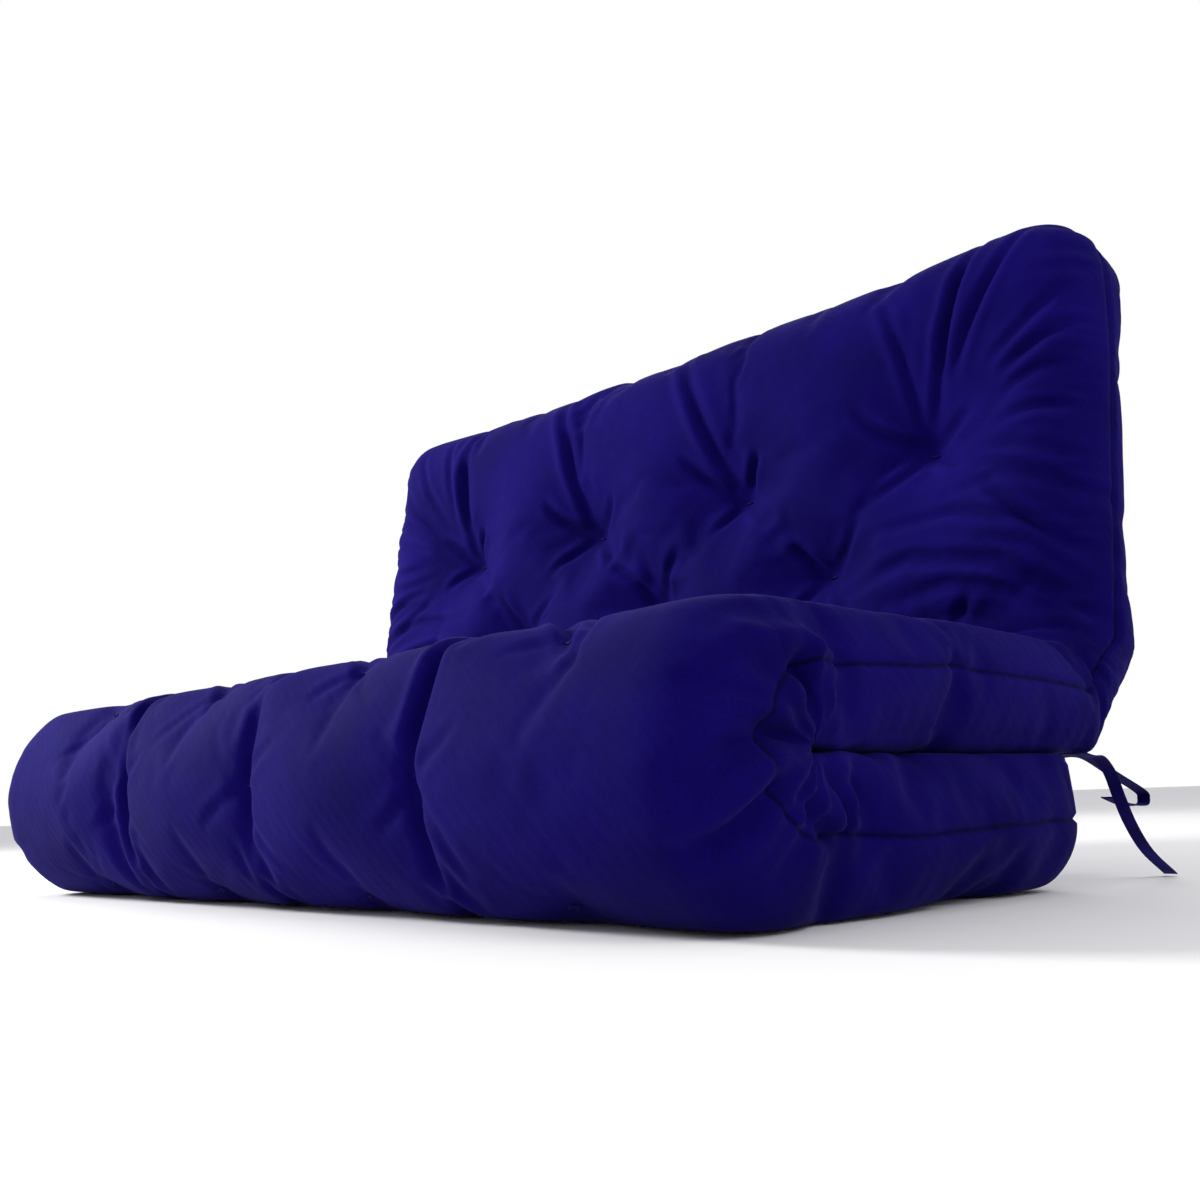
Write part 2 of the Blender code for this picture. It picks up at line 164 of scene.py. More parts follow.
# Plan points near a corner, moved onto its round: across, end distance and outline distance
def roundCorner(across, endInset):
    side = np.sign(across)
    sideInset = halfWidth - np.abs(across)
    p = np.clip((cornerRadius - sideInset) / cornerRadius, 0, 1)
    q = np.clip((cornerRadius - endInset) / cornerRadius, 0, 1)
    inCorner = (p > 0) & (q > 0)
    pRound = p * np.sqrt(1 - q * q / 2)
    qRound = q * np.sqrt(1 - p * p / 2)
    newSide = np.where(inCorner, cornerRadius * (1 - pRound), sideInset)
    newEnd = np.where(inCorner, cornerRadius * (1 - qRound), endInset)
    roundOutline = cornerRadius * (1 - np.hypot(pRound, qRound))
    outline = np.where(inCorner, roundOutline, np.minimum(sideInset, endInset))
    return side * (halfWidth - newSide), newEnd, outline


def outerHeight(outline):
    rise = np.clip(outline / edgeRadius, 0, 1)
    return seamHeight + edgeRadius * np.sqrt(np.clip(1 - (1 - rise) ** 2, 0, 1))


def innerHeight(outline):
    radius = mattress["lowerSeam"]
    rise = np.clip(outline / radius, 0, 1)
    return radius * (1 - np.sqrt(np.clip(1 - (1 - rise) ** 2, 0, 1)))


# Points given across the sofa, along their stretch and above the inner face
def toWorld(stretch, across, place, height):
    points = np.zeros((len(across), 3))
    points[:, 0] = across
    here = stretch == backStretch
    points[here] += backAxis + place[here, None] * upBack + (layer - height[here, None]) * behindBack
    for fold, axis, way in ((backFold, backAxis, 1), (frontFold, frontAxis, -1)):
        here = stretch == fold
        radius = layer - height[here] if fold == backFold else height[here]
        radius = np.maximum(radius, mattress["crease"])
        points[here, 1] = axis[1] + way * radius * np.sin(place[here])
        points[here, 2] = axis[2] - way * radius * np.cos(place[here])
    for flat, way in ((seatStretch, 1), (baseStretch, -1)):
        here = stretch == flat
        points[here, 1] = frontAxis[1] + place[here]
        points[here, 2] = frontAxis[2] + way * height[here]
    return points


# The closed cover: each point's stretch, plan place and height, and faces with their cloth
def buildCover(cell):
    outerAcross, innerAcross = acrossLines(cell)
    rows = alongLines(cell)
    lineCount, rowCount = len(outerAcross), len(rows)
    cover = SimpleNamespace()
    stretch, across, place, height, kind = [], [], [], [], []

    def perPoint(index):
        return np.repeat(np.array([row[index] for row in rows]), lineCount)

    def addGrid(which, acrossPlan, placeIndex, insetIndex, heightOf):
        start = sum(len(part) for part in across)
        inset = perPoint(insetIndex)
        newX, newInset, outline = roundCorner(np.tile(acrossPlan, rowCount), inset)
        where = perPoint(placeIndex)
        rowStretch = perPoint(0)
        ends = np.where(rowStretch == backStretch, backLength, baseLength)
        where = np.where(inset < farOff, ends - newInset, where)
        stretch.append(rowStretch)
        across.append(newX)
        place.append(where)
        height.append(heightOf(outline))
        kind.append(np.full(len(newX), which))
        return start

    topStart = addGrid(outerCloth, outerAcross, 1, 3, outerHeight)
    bottomStart = addGrid(innerCloth, innerAcross, 2, 4, innerHeight)
    top = topStart + np.arange(lineCount * rowCount).reshape(rowCount, lineCount)
    bottom = bottomStart + np.arange(lineCount * rowCount).reshape(rowCount, lineCount)

    loop = [(0, i) for i in range(lineCount)]
    loop += [(j, lineCount - 1) for j in range(1, rowCount)]
    loop += [(rowCount - 1, i) for i in range(lineCount - 2, -1, -1)]
    loop += [(j, 0) for j in range(rowCount - 2, 0, -1)]
    loopRow = np.array([item[0] for item in loop])
    loopLine = np.array([item[1] for item in loop])
    upper, lower = top[loopRow, loopLine], bottom[loopRow, loopLine]
    allAcross, allPlace = np.concatenate(across), np.concatenate(place)
    allHeight, allStretch = np.concatenate(height), np.concatenate(stretch)
    walls = [upper]
    count = grid["gussetRows"]
    total = len(allAcross)
    for step in range(1, count):
        share = step / count
        for part, values in ((across, allAcross), (place, allPlace), (height, allHeight)):
            part.append(values[upper] * (1 - share) + values[lower] * share)
        stretch.append(allStretch[upper])
        kind.append(np.full(len(upper), gussetRight))
        walls.append(total + np.arange(len(upper)))
        total += len(upper)
    walls.append(lower)

    faces, labels, faceRows = [], [], []

    def addFaces(quads, label, rowOf):
        faces.append(quads)
        labels.append(np.full(len(quads), label) if np.isscalar(label) else label)
        faceRows.append(rowOf)

    a, b, c, d = top[:-1, :-1], top[:-1, 1:], top[1:, 1:], top[1:, :-1]
    rowOf = np.repeat(np.arange(rowCount - 1), lineCount - 1)
    addFaces(np.stack([a, b, c, d], -1).reshape(-1, 4), outerCloth, rowOf)
    a, b, c, d = bottom[:-1, :-1], bottom[1:, :-1], bottom[1:, 1:], bottom[:-1, 1:]
    addFaces(np.stack([a, b, c, d], -1).reshape(-1, 4), innerCloth, rowOf)
    nextRow, nextLine = np.roll(loopRow, -1), np.roll(loopLine, -1)
    wallLabel = np.where(
        (loopRow == 0) & (nextRow == 0), headGusset,
        np.where((loopRow == rowCount - 1) & (nextRow == rowCount - 1), footGusset,
                 np.where((loopLine == 0) & (nextLine == 0), gussetRight, gussetLeft)))
    wallRow = np.minimum(np.minimum(loopRow, nextRow), rowCount - 2)
    for high, low in zip(walls, walls[1:]):
        quads = np.stack([high, low, np.roll(low, -1), np.roll(high, -1)], -1)
        addFaces(quads, wallLabel, wallRow)

    gathered = dict(stretch=stretch, across=across, place=place, height=height, kind=kind,
                    faces=faces, labels=labels, faceRows=faceRows)
    for name, parts in gathered.items():
        setattr(cover, name, np.concatenate(parts))
    cover.points = toWorld(cover.stretch, cover.across, cover.place, cover.height)
    cover.rows, cover.top, cover.bottom = rows, top, bottom
    middle = walls[count // 2 + 1]
    ends = ((loopRow == 0) | (loopRow == rowCount - 1)) & (loopLine % grid["endHoldEvery"] == 4)
    cover.endHolds = middle[ends]
    seatRows = [index for index, row in enumerate(rows) if row[0] == seatStretch]
    cover.middleRow = seatRows[len(seatRows) // 2]
    return cover


cover = buildCover(grid["cell"])
print("cover", len(cover.points), "points", len(cover.faces), "faces", cover.top.shape)


def plainMesh(name, points, faces):
    mesh = bpy.data.meshes.new(name)
    mesh.vertices.add(len(points))
    mesh.vertices.foreach_set("co", np.asarray(points, np.float32).ravel())
    mesh.loops.add(len(faces) * 4)
    mesh.loops.foreach_set("vertex_index", np.asarray(faces, np.int32).ravel())
    mesh.polygons.add(len(faces))
    mesh.polygons.foreach_set("loop_start", np.arange(0, len(faces) * 4, 4, dtype=np.int32))
    mesh.polygons.foreach_set("use_smooth", np.ones(len(faces), bool))
    mesh.update(calc_edges=True)
    mesh.validate()
    return newObject(name, mesh)


# Tufts: rows counted from the head end, with how far each row draws the outer cloth in
tufts = dict(
    first=0.275, pitch=0.14, spacing=0.3, offset=0.02, rows=11,
    pull=(0.056, 0.052, 0.034, 0.026, 0.026, 0.017, 0.013, 0.015, 0.004, 0.003, 0.003),
    pinch=0.024, hollow=0.072,    # width of the tight pinch and of the wide hollow round it
    innerPull=0.014, innerHollow=0.04,
    foldHold=0.03,    # a fold holds the cloth this near to its line
    threadRadius=0.0011, stitch=0.011,
    foldStop=0.22, runDepth=0.8,    # how near to the fold a stitch ends, how deep the row's thread runs
)


def tuftRows():
    rows = []
    foldStart = backLength + seatLength
    foldEnd = foldStart + pi * layer
    for row in range(tufts["rows"]):
        along = tufts["first"] + tufts["pitch"] * row
        stretch, place = baseStretch, along - foldEnd
        if along < backLength:
            stretch, place = backStretch, backLength - along
        elif along < foldStart:
            stretch, place = seatStretch, foldStart - along
        elif along < foldEnd:
            stretch, place = frontFold, (along - foldStart) / layer
        count = 4 if row % 2 == 0 else 3
        middle = (count - 1) / 2
        across = [(index - middle) * tufts["spacing"] + tufts["offset"] for index in range(count)]
        rows.append((row, along, stretch, place, across))
    return rows


# Ends of each tuft on the flat outer and inner faces, and the way in from the outer one
def tuftEnds(stretch, place, across):
    across = np.array(across)
    stretches, places = np.full(len(across), stretch), np.full(len(across), place)
    outer, inner, below = (toWorld(stretches, across, places, np.full(len(across), height))
                           for height in (layer, 0.0, layer - 0.02))
    inward = below - outer
    inward /= np.linalg.norm(inward, axis=1)[:, None]
    return outer, inner, inward


def hollowShape(gap):
    pinch = np.exp(-((gap / tufts["pinch"]) ** 1.2))
    return 0.55 * pinch + 0.45 * np.exp(-((gap / tufts["hollow"]) ** 2))


# The cover with its tufts drawn in, and how firmly each point is held
def drawTufts(cover):
    points, held = cover.points.copy(), np.zeros(len(cover.points))
    onOuter, onInner = cover.kind == outerCloth, cover.kind == innerCloth
    for row, along, stretch, place, across in tuftRows():
        for top, bottom, way in zip(*tuftEnds(stretch, place, across)):
            gap = np.where(onOuter, np.linalg.norm(cover.points - top, axis=1), farOff)
            points += way * (tufts["pull"][row] * hollowShape(gap))[:, None]
            held[np.argmin(gap)] = 1
            if stretch == frontFold:
                continue
            gap = np.where(onInner, np.linalg.norm(cover.points - bottom, axis=1), farOff)
            hollow = np.exp(-((gap / tufts["innerHollow"]) ** 2))
            points -= way * (tufts["innerPull"] * hollow)[:, None]
            held[np.argmin(gap)] = 1
    for axis, face in ((frontAxis, onInner), (backAxis, onOuter)):
        fromAxis = np.hypot(cover.points[:, 1] - axis[1], cover.points[:, 2] - axis[2])
        held[face & (fromAxis < tufts["foldHold"])] = 1
    held[cover.endHolds] = 1
    return points, held


# Filling the cover: cloth simulation with pressure inside, held by its tufts and folds
filling = dict(
    frames=14,
    furthest=0.034,    # how far any point may swell
    floorSoft=0.01, slitSoft=0.006,
    bendDrawIn=0.26,    # share that the outer bend of the back is drawn in
    satFlat=0.252, satSoft=0.016,    # height where the seat is sat flat, and how softly
)
clothSettings = dict(
    quality=5, mass=0.3, tension_stiffness=20, compression_stiffness=10, shear_stiffness=6,
    bending_stiffness=0.4, tension_damping=8, compression_damping=8, shear_damping=8,
    bending_damping=0.5, air_damping=3, use_pressure=True, uniform_pressure_force=4.0,
    vertex_group_mass="held", pin_stiffness=1, shrink_min=-0.035,    # 3.5 % of cloth to spare
)


def readVectors(items, name):
    values = np.zeros(len(items) * 3, np.float32)
    items.foreach_get(name, values)
    return values.reshape(-1, 3).astype(float)


def fillCover(cover, drawn, held):
    obj = plainMesh("coverCloth", cover.points, cover.faces)
    obj.shape_key_add(name="flat")
    key = obj.shape_key_add(name="tufted")
    key.data.foreach_set("co", drawn.ravel().astype(np.float32))
    key.value = 1
    group = obj.vertex_groups.new(name="held")
    group.add([int(index) for index in np.flatnonzero(held)], 1.0, "ADD")
    modifier = obj.modifiers.new("filling", "CLOTH")
    cloth = modifier.settings
    for key, value in clothSettings.items():
        setattr(cloth, key, value)
    cloth.rest_shape_key = obj.data.shape_keys.key_blocks["flat"]
    cloth.effector_weights.gravity = 0
    modifier.collision_settings.use_collision = False
    modifier.collision_settings.use_self_collision = False
    modifier.point_cache.frame_start, modifier.point_cache.frame_end = 1, filling["frames"]
    scene.frame_start, scene.frame_end = 1, filling["frames"]
    for frameNumber in range(1, filling["frames"] + 1):
        scene.frame_set(frameNumber)
    blown = obj.evaluated_get(bpy.context.evaluated_depsgraph_get()).data
    points = readVectors(blown.vertices, "co")
    scene.frame_set(1)
    bpy.data.objects.remove(obj)
    return points


# Weight: nothing goes through the floor, the slit or the crease under the back
def softFloor(value, soft):
    return np.where(value < soft, soft * np.exp(np.minimum(value - soft, 0) / soft), value)


def settle(cover, drawn, points):
    move = points - drawn
    reach = np.linalg.norm(move, axis=1)
    limit = filling["furthest"]
    eased = limit * np.tanh(reach / limit)
    points = drawn + move * (eased / np.maximum(reach, 1e-9))[:, None]
    soft = filling["slitSoft"]
    onSeat, onBase = cover.stretch == seatStretch, cover.stretch == baseStretch
    points[onSeat, 2] = frontAxis[2] + softFloor(points[onSeat, 2] - frontAxis[2], soft)
    points[onBase, 2] = frontAxis[2] - softFloor(frontAxis[2] - points[onBase, 2], soft)
    forward = np.array([0, -1.0, 0])
    between = upBack - forward
    between /= np.linalg.norm(between)
    for here, side in ((onSeat, -1), (cover.stretch == backStretch, 1)):
        away = (points[here] - backAxis) @ between * side
        points[here] += (side * (softFloor(away, soft) - away))[:, None] * between
    # The top of the seat and roll is sat flat
    high = onSeat | (cover.stretch == frontFold)
    ceiling, soft = filling["satFlat"], filling["satSoft"]
    height = points[high, 2]
    flattened = ceiling + soft * (1 - np.exp(-(height - ceiling) / soft))
    points[high, 2] = np.where(height > ceiling, flattened, height)
    # The outer bend of the back is drawn in, most at the two ends
    here = cover.stretch == backFold
    towardsEnd = np.clip((np.abs(points[here, 0]) - 0.35) / 0.3, 0, 1)
    drawIn = filling["bendDrawIn"] * (0.45 + 0.55 * towardsEnd)
    share = 1 - drawIn * np.sin(np.pi * np.clip(cover.place[here] / backTurn, 0, 1)) ** 0.8
    points[here, 1:] = backAxis[1:] + (points[here, 1:] - backAxis[1:]) * share[:, None]
    points[:, 2] = softFloor(points[:, 2], filling["floorSoft"])
    return points


drawn, held = drawTufts(cover)
filled = fillCover(cover, drawn, held)
settled = settle(cover, drawn, filled)
print("cover filled", settled.min(0).round(3), settled.max(0).round(3))

# Cover after one subdivision, with what is known of each point
marks = ("across", "along", "depth", "restX", "restY", "restZ", "frontTurn", "backTurn")


def alongMattress(cover):
    foldStart = backLength + seatLength
    along = np.where(cover.stretch == backStretch, backLength - cover.place, backLength)
    along = np.where(cover.stretch == seatStretch, foldStart - cover.place, along)
    along = np.where(cover.stretch == frontFold, foldStart + cover.place * layer, along)
    return np.where(cover.stretch == baseStretch, foldStart + pi * layer + cover.place, along)


def writeAttribute(mesh, name, values, kind="FLOAT", domain="POINT"):
    attribute = mesh.attributes.new(name, kind, domain)
    attribute.data.foreach_set("value", values.astype(np.float32 if kind == "FLOAT" else np.int32))


def readAttribute(mesh, name, kind=np.float32):
    data = mesh.attributes[name].data
    values = np.zeros(len(data), kind)
    data.foreach_get("value", values)
    return values.astype(float) if kind is np.float32 else values


def refine(cover, points):
    obj = plainMesh("coverFine", points, cover.faces)
    frontTurn = np.where(cover.stretch == frontFold, cover.place / pi, 0.0)
    frontTurn[cover.stretch == baseStretch] = 1
    turned = np.where(cover.stretch == backFold, cover.place / backTurn, 0.0)
    turned[cover.stretch == backStretch] = 1
    values = (cover.across, alongMattress(cover), cover.height, *cover.points.T, frontTurn, turned)
    for name, value in zip(marks, values):
        writeAttribute(obj.data, name, value)
    writeAttribute(obj.data, "cloth", cover.labels, "INT", "FACE")
    writeAttribute(obj.data, "rear", cover.faceRows < cover.middleRow, "INT", "FACE")
    finer = obj.modifiers.new("finer", "SUBSURF")
    finer.levels = 1
    mesh = bpy.data.meshes.new_from_object(obj.evaluated_get(bpy.context.evaluated_depsgraph_get()))
    bpy.data.objects.remove(obj)
    return mesh


fine = refine(cover, settled)
known = {name: readAttribute(fine, name) for name in marks}
rest = np.stack([known["restX"], known["restY"], known["restZ"]], -1)
faceCorners = np.zeros(len(fine.loops), np.int32)
fine.loops.foreach_get("vertex_index", faceCorners)
faceCorners = faceCorners.reshape(-1, 4)
faceCloth, faceRear = (readAttribute(fine, name, np.int32) for name in ("cloth", "rear"))
touches = np.zeros((len(fine.vertices), clothCount), bool)
for label in range(clothCount):
    touches[np.unique(faceCorners[faceCloth == label]), label] = True
onSeam = touches.sum(1) > 1
print("fine cover", len(fine.vertices), "points", len(fine.polygons), "faces")

# Creases sewn and slept into the cover. Tables in millimetres: across and along from the head end,
# then depth and width
creases = dict(
    fromTufts=dict(start=0.012, length=0.105, depth=0.0085, width=0.007),
    sideFan=dict(lines=9, first=-72, step=14, depth=0.0075, width=0.0068),    # angles in degrees
    seamPuckers=dict(depth=0.0017, reach=0.045, spacing=0.027),
)
headCreases = [
    ([(60, 20), (100, 110), (165, 262)], 7, 12),
    ([(-210, 20), (-170, 120), (-135, 262)], 7, 12),
    ([(-450, 20), (-440, 140), (-430, 262)], 6.5, 12),
    ([(420, 50), (450, 150), (467, 250)], 4, 9),
    ([(540, 40), (510, 140), (478, 250)], 5, 9),
]
lowerBackCreases = [
    ([(360, 455), (470, 425), (580, 445), (650, 500)], 7.5, 10),
    ([(420, 475), (520, 460), (590, 480), (640, 515)], 5, 8),
    ([(400, 385), (520, 375), (610, 400), (660, 445)], 6, 9),
    ([(500, 350), (580, 340), (660, 370)], 4.5, 8),
    ([(460, 500), (530, 495), (580, 522)], 4, 8),
    ([(550, 415), (620, 430), (670, 475)], 3.5, 7),
]
rollCreases = [
    ([(335, 930), (322, 1050), (322, 1150), (318, 1260), (325, 1350)], 8.5, 11),
    ([(-270, 950), (-280, 1100), (-280, 1260), (-275, 1360)], 6.5, 11),
    ([(25, 1140), (20, 1255), (24, 1350)], 3.5, 10),
    ([(380, 1020), (460, 1100), (490, 1150)], 6, 9),
    ([(460, 1030), (500, 1110), (510, 1190)], 4.5, 9),
    ([(100, 1040), (160, 1110), (190, 1170)], 5, 9),
    ([(-200, 1040), (-130, 1120), (-110, 1170)], 4.5, 9),
]
random = np.random.default_rng(11)


def inMetres(table, deeper=1, wider=1):
    return [([(x / 1000, y / 1000) for x, y in line], depth / 1000 * deeper, width / 1000 * wider)
            for line, depth, width in table]


# A valley along a bent line, with a soft rolled lip on one side
def creaseShift(x, y, line, depth, width):
    line = np.array(line, float)
    near, side, walked = np.full(len(x), farOff), np.zeros(len(x)), np.zeros(len(x))
    lengths = np.linalg.norm(np.diff(line, axis=0), axis=1)
    total, done = lengths.sum(), 0.0
    for start, end, length in zip(line[:-1], line[1:], lengths):
        way = (end - start) / length
        along = np.clip((x - start[0]) * way[0] + (y - start[1]) * way[1], 0, length)
        offX, offY = x - start[0] - along * way[0], y - start[1] - along * way[1]
        gap = np.hypot(offX, offY)
        closer = gap < near
        near[closer] = gap[closer]
        side[closer] = np.sign(way[0] * offY - way[1] * offX)[closer]
        walked[closer] = (done + along)[closer] / total
        done += length
    taper = np.sin(np.pi * np.clip(walked, 0, 1)) ** 0.7
    valley = np.exp(-((near / width) ** 2))
    lip = np.exp(-(((near * side - 1.7 * width) / width) ** 2))
    lip += 0.4 * np.exp(-(((near * side + 1.9 * width) / width) ** 2))
    return depth * taper * (0.55 * lip - valley)


# Bends a straight line a little, so that no crease is ruled
def wavyLine(start, end, bend):
    start, end = np.array(start), np.array(end)
    way = end - start
    sideways = np.array([-way[1], way[0]])
    shares = np.linspace(0, 1, 5)
    sway = np.sin(np.pi * shares) * bend
    return [tuple(start + way * share + sideways * shift) for share, shift in zip(shares, sway)]


def allCreases():
    found = inMetres(headCreases, 1.5, 0.8) + inMetres(lowerBackCreases, 1.05, 0.85)
    found += inMetres(rollCreases, 1.05, 0.8)
    found += [([(-x, y) for x, y in line], depth, width)
              for line, depth, width in inMetres(lowerBackCreases, 1, 0.8)]
    short = creases["fromTufts"]
    spots = [(row, x, along) for row, along, stretch, place, across in tuftRows() for x in across]
    for row, x, along in spots:
        strength = min(tufts["pull"][row] / 0.045, 1)
        turn = random.uniform(-0.2, 0.2)
        for angle in (0.72, 2.42, 3.86, 5.56):
            angle += turn + random.uniform(-0.18, 0.18)
            length = short["length"] * random.uniform(0.6, 1.15)
            way = np.array([cos(angle), sin(angle)])
            start, end = ((x, along) + way * reach for reach in (short["start"], length))
            depth = short["depth"] * strength * random.uniform(0.6, 1.1)
            found.append((wavyLine(start, end, random.uniform(-0.12, 0.12)), depth, short["width"]))
    fan = creases["sideFan"]
    for side in (1, -1):
        outermost = tufts["offset"] + side * 1.5 * tufts["spacing"]
        for index in range(fan["lines"]):
            angle = radians(fan["first"] + fan["step"] * index + random.uniform(-4, 4))
            start = 0.07 + random.uniform(0, 0.05)
            length = min(0.215 / max(cos(angle), 0.2), 0.3) * random.uniform(0.85, 1.0)
            way = np.array([side * cos(angle), sin(angle)])
            first, last = ((outermost, tufts["first"]) + way * reach for reach in (start, length))
            depth = fan["depth"] * random.uniform(0.6, 1.2) * (1 if side > 0 else 0.7)
            found.append((wavyLine(first, last, random.uniform(-0.06, 0.06)), depth, fan["width"]))
    return found


def shiftOuter(lines):
    shift = np.zeros(len(rest))
    here = np.flatnonzero(touches[:, outerCloth])
    x, y = known["across"][here], known["along"][here]
    total = np.zeros(len(here))
    for line, depth, width in lines:
        low, high = np.min(line, axis=0) - 4 * width, np.max(line, axis=0) + 4 * width
        close = (x > low[0]) & (x < high[0]) & (y > low[1]) & (y < high[1])
        total[close] += creaseShift(x[close], y[close], line, depth, width)
    pucker = creases["seamPuckers"]
    inset = halfWidth - np.abs(x)
    drift = 2.6 * np.sin(y / 0.031) + 1.9 * np.sin(y / 0.013 + x * 9)
    wave = np.sin(2 * np.pi * y / pucker["spacing"] + drift + 1.3 * np.sign(x))
    loud = 0.35 + 0.65 * np.clip(np.sin(y / 0.083 + 1.1 * np.sign(x)) * 0.9, 0, 1)
    loud = np.where(y < backLength, loud + 0.5, loud * 0.35)
    fade = np.exp(-((inset / pucker["reach"]) ** 2)) * np.clip(inset / 0.012, 0.05, 1)
    total += pucker["depth"] * loud * wave * fade
    shift[here] = total
    return shift


# Gathers at both ends of the front fold, in millimetres: behind the fold line and above the floor
endFolds = [
    ([(30, 205), (-20, 222), (-70, 222), (-100, 205)], -12, 12),
    ([(-25, 215), (-12, 185), (-16, 160)], 10, 10),
    ([(-125, 195), (-80, 178), (-45, 165)], 6, 8),
    ([(-120, 172), (-75, 160), (-40, 152)], 5, 7),
    ([(-15, 148), (-55, 150), (-98, 142), (-128, 112)], 16, 11),
    ([(-120, 66), (-85, 92), (-50, 118)], 14, 10),
    ([(-110, 115), (-75, 120), (-40, 128)], 4, 7),
    ([(-100, 95), (-70, 108), (-35, 124)], 4, 7),
    ([(5, 128), (30, 105), (36, 68)], 12, 9),
    ([(20, 130), (52, 110), (60, 85)], 6, 8),
    ([(-35, 110), (-10, 85), (30, 62)], 10, 8),
]


def shiftEnds():
    push = np.zeros(len(rest))
    for side in (1, -1):
        atEnd = known["across"] * side > halfWidth - 0.1
        here = np.flatnonzero(atEnd & (rest[:, 1] < frontAxis[1] + 0.12))
        y, z = rest[here, 1] - frontAxis[1], rest[here, 2]
        total = np.zeros(len(here))
        for line, depth, width in inMetres(endFolds):
            total += creaseShift(y, z, line, depth, width)
        radius = np.hypot(y, z - frontAxis[2])
        turn = np.arctan2(-y, z - frontAxis[2])
        gathers = np.sin(turn * 13 + 0.8 * np.sin(turn * 5)) * np.exp(-(((radius - 0.055) / 0.035) ** 2))
        total += 0.0028 * gathers * (y < 0.03)
        strength = 1 if side > 0 else 0.8
        fade = np.clip((np.abs(known["across"][here]) - halfWidth + 0.1) / 0.07, 0, 1)
        push[here] = total * strength * fade
    return push


points, normals = readVectors(fine.vertices, "co"), readVectors(fine.vertex_normals, "vector")
seam = dict(groove=0.004, lowerShare=0.35, slitRipple=0.0004, lowest=0.0008)
creaseLines = allCreases()
shift = shiftOuter(creaseLines)
upperSeam = onSeam & touches[:, outerCloth]
shift[upperSeam] -= seam["groove"]
shift[onSeam & ~upperSeam] -= seam["groove"] * seam["lowerShare"]
points += normals * shift[:, None]
points += normals * shiftEnds()[:, None]
gussetPoints = touches[:, [gussetRight, gussetLeft, headGusset, footGusset]].any(1)
ripple = np.sin(rest[:, 1] / 0.0045 + 2.1 * np.sin(rest[:, 1] / 0.031)) * np.sin(rest[:, 2] / 0.02)
points[gussetPoints] += (normals * (seam["slitRipple"] * ripple)[:, None])[gussetPoints]
points[:, 2] = np.maximum(points[:, 2], seam["lowest"])
fine.vertices.foreach_set("co", points.ravel().astype(np.float32))
fine.update()
normals = readVectors(fine.vertex_normals, "vector")
print("creases", len(creaseLines))


# Fabric finishes
def newMaterial(name, colour, roughness, sheen=0.0, sheenTint=(1, 1, 1, 1)):
    material = bpy.data.materials.new(name)
    material.use_nodes = True
    tree = material.node_tree
    shader = tree.nodes["Principled BSDF"]
    values = {"Base Color": (*colour, 1), "Roughness": roughness, "Sheen Weight": sheen,
              "Sheen Roughness": 0.45, "Sheen Tint": sheenTint, "Specular IOR Level": 0.04}
    for key, value in values.items():
        shader.inputs[key].default_value = value
    return material, shader, node(tree, "TexCoord")


def node(tree, kind, values=None, **settings):
    made = tree.nodes.new("ShaderNode" + kind)
    for key, value in settings.items():
        setattr(made, key, value)
    for key, value in (values or {}).items():
        made.inputs[key].default_value = value
    return made


def join(source, output, target, entry):
    source.id_data.links.new(source.outputs[output], target.inputs[entry])


# A texture laid on the object's own coordinates
def texture(place, kind, values, **settings):
    made = node(place.id_data, kind, values, **settings)
    join(place, "Object", made, "Vector")
    return made


def noise(place, scale, **more):
    values = {key.capitalize(): value for key, value in more.items()}
    return texture(place, "TexNoise", {"Scale": scale, **values})


def rangeOf(source, output, values):
    made = node(source.id_data, "MapRange", values)
    join(source, output, made, "Value")
    return made


# Lays a colour over another one as far as the factor says
def overlay(factor, output, under, underOutput, colour):
    made = node(factor.id_data, "Mix", {"B": (*colour, 1)}, data_type="RGBA")
    join(factor, output, made, "Factor")
    join(under, underOutput, made, "A")
    return made


# Three shades in soft clouds
def shadeClouds(place, tones, scale):
    clouds = noise(place, scale, detail=4.0, roughness=0.55)
    ramp = node(place.id_data, "ValToRGB")
    stops = ramp.color_ramp.elements
    stops[0].position, stops[0].color = 0.3, (*tones[0], 1)
    stops[1].position, stops[1].color = 0.72, (*tones[2], 1)
    stops.new(0.5).color = (*tones[1], 1)
    join(clouds, "Fac", ramp, "Fac")
    return ramp


# The clouds, grained by fine threads
def shadeCloth(place, tones, cloudScale, threadScale):
    ramp = shadeClouds(place, tones, cloudScale)
    threads = noise(place, threadScale, detail=2.0)
    shades = {"From Min": 0.3, "From Max": 0.7, "To Min": 0.82, "To Max": 1.16}
    grain = rangeOf(threads, "Fac", shades)
    mixed = node(place.id_data, "VectorMath", operation="SCALE")
    join(ramp, "Color", mixed, 0)
    join(grain, "Result", mixed, "Scale")
    return mixed


# Height textures, each with its strength and its distance in metres
def addBumps(shader, heights):
    last = None
    for source, strength, distance in heights:
        bump = node(shader.id_data, "Bump", {"Strength": strength, "Distance": distance})
        join(source, "Fac", bump, "Height")
        if last:
            join(last, "Normal", bump, "Normal")
        last = bump
    join(last, "Normal", shader, "Normal")


twill = dict(
    tones=((0.0022, 0.0003, 0.062), (0.0033, 0.0007, 0.082), (0.0054, 0.0016, 0.106)),
    worn=(0.011, 0.005, 0.15), lint=(0.013, 0.006, 0.1), seamShade=(0.001, 0.0, 0.014),
    roughness=0.84, sheen=0.05, sheenTint=(0.3, 0.22, 1, 1), wales=31, crumple=26,
)


